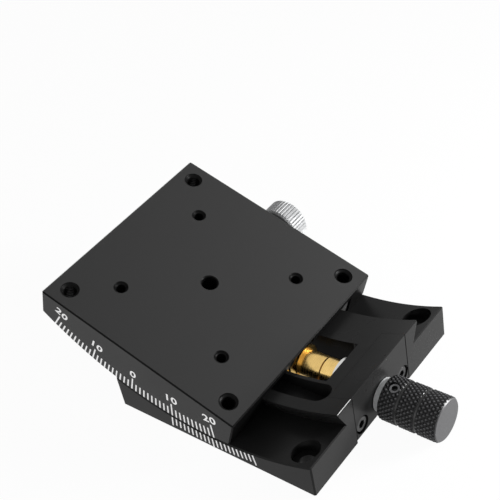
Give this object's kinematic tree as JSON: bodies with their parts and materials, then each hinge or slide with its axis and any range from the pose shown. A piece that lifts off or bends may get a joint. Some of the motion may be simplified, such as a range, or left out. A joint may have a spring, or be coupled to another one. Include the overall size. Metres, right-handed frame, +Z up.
{
  "type": "goniometer stage",
  "caption": "Worm-driven arc-dovetail tilt stage: square table swinging about a point above it, degree scale, end knob, side lock screw, tapped mounting holes.",
  "frame": {"origin": "centre of the base's underside, which is the centre of its four mounting holes", "axes": "+X along the worm shaft towards the knob, +Y towards the lock screw, +Z up towards the table; the rotation centre is on +Z"},
  "size_m": [0.0986, 0.0675, 0.0318],
  "materials": {
    "black_anodised": "matte black anodised",
    "black_knob": "black anodised, diamond knurl",
    "clear_anodised": "satin, turned",
    "shaft_steel": "ground",
    "washer_steel": "satin",
    "screw_steel": "satin",
    "black_oxide": "black oxide",
    "lock_steel": "satin, straight knurl",
    "brass": "turned",
    "bronze": "machined"
  },
  "bodies": {
    "base": {"base": "black_anodised", "bearing_block": "black_anodised", "bearing_block_screws": "black_oxide", "front_bush": "bronze", "rear_bush": "bronze"},
    "worm_drive": {"worm_shaft": "shaft_steel", "worm": "brass", "worm_pin": "shaft_steel", "play_collar": "brass", "play_collar_screw": "screw_steel", "front_thrust_washer": "washer_steel", "rear_thrust_washer": "washer_steel", "knob_collar": "clear_anodised", "knob": "black_knob", "knob_set_screw": "black_oxide"},
    "table": {"platform": "black_anodised", "worm_sector": "bronze", "sector_screws": "screw_steel", "clamp_gib": "black_anodised", "gib_set_screws": "screw_steel", "stop_pin": "shaft_steel"},
    "lock_pad": {"lock_pad": "brass"},
    "lock_screw": {"lock_screw": "lock_steel"}
  },
  "joints": [
    {"name": "worm_turn", "type": "hinge", "parent": "base", "child": "worm_drive", "pos_m": [0, 0, 0.006], "axis": [1, 0, 0], "range_deg": [-7090, 107]},
    {"name": "tilt", "type": "hinge", "parent": "base", "child": "table", "pos_m": [0, 0, 0.079], "axis": [0, 1, 0], "range_deg": [-39.4, 0.6]},
    {"name": "lock_feed", "type": "slide", "parent": "table", "child": "lock_pad", "axis": [0, -1, 0], "range_m": [-0.0007, 0.00035]},
    {"name": "lock_turn", "type": "hinge", "parent": "lock_pad", "child": "lock_screw", "pos_m": [-0.02249, 0.03, 0.01514], "axis": [0, -1, 0], "range_deg": [-360.2, 180.2]}
  ],
  "couplings": [
    {"joint": "tilt", "follows": "worm_turn", "ratio": 0.0055556},
    {"joint": "lock_turn", "follows": "lock_feed", "rad_per_m": 8976}
  ]
}
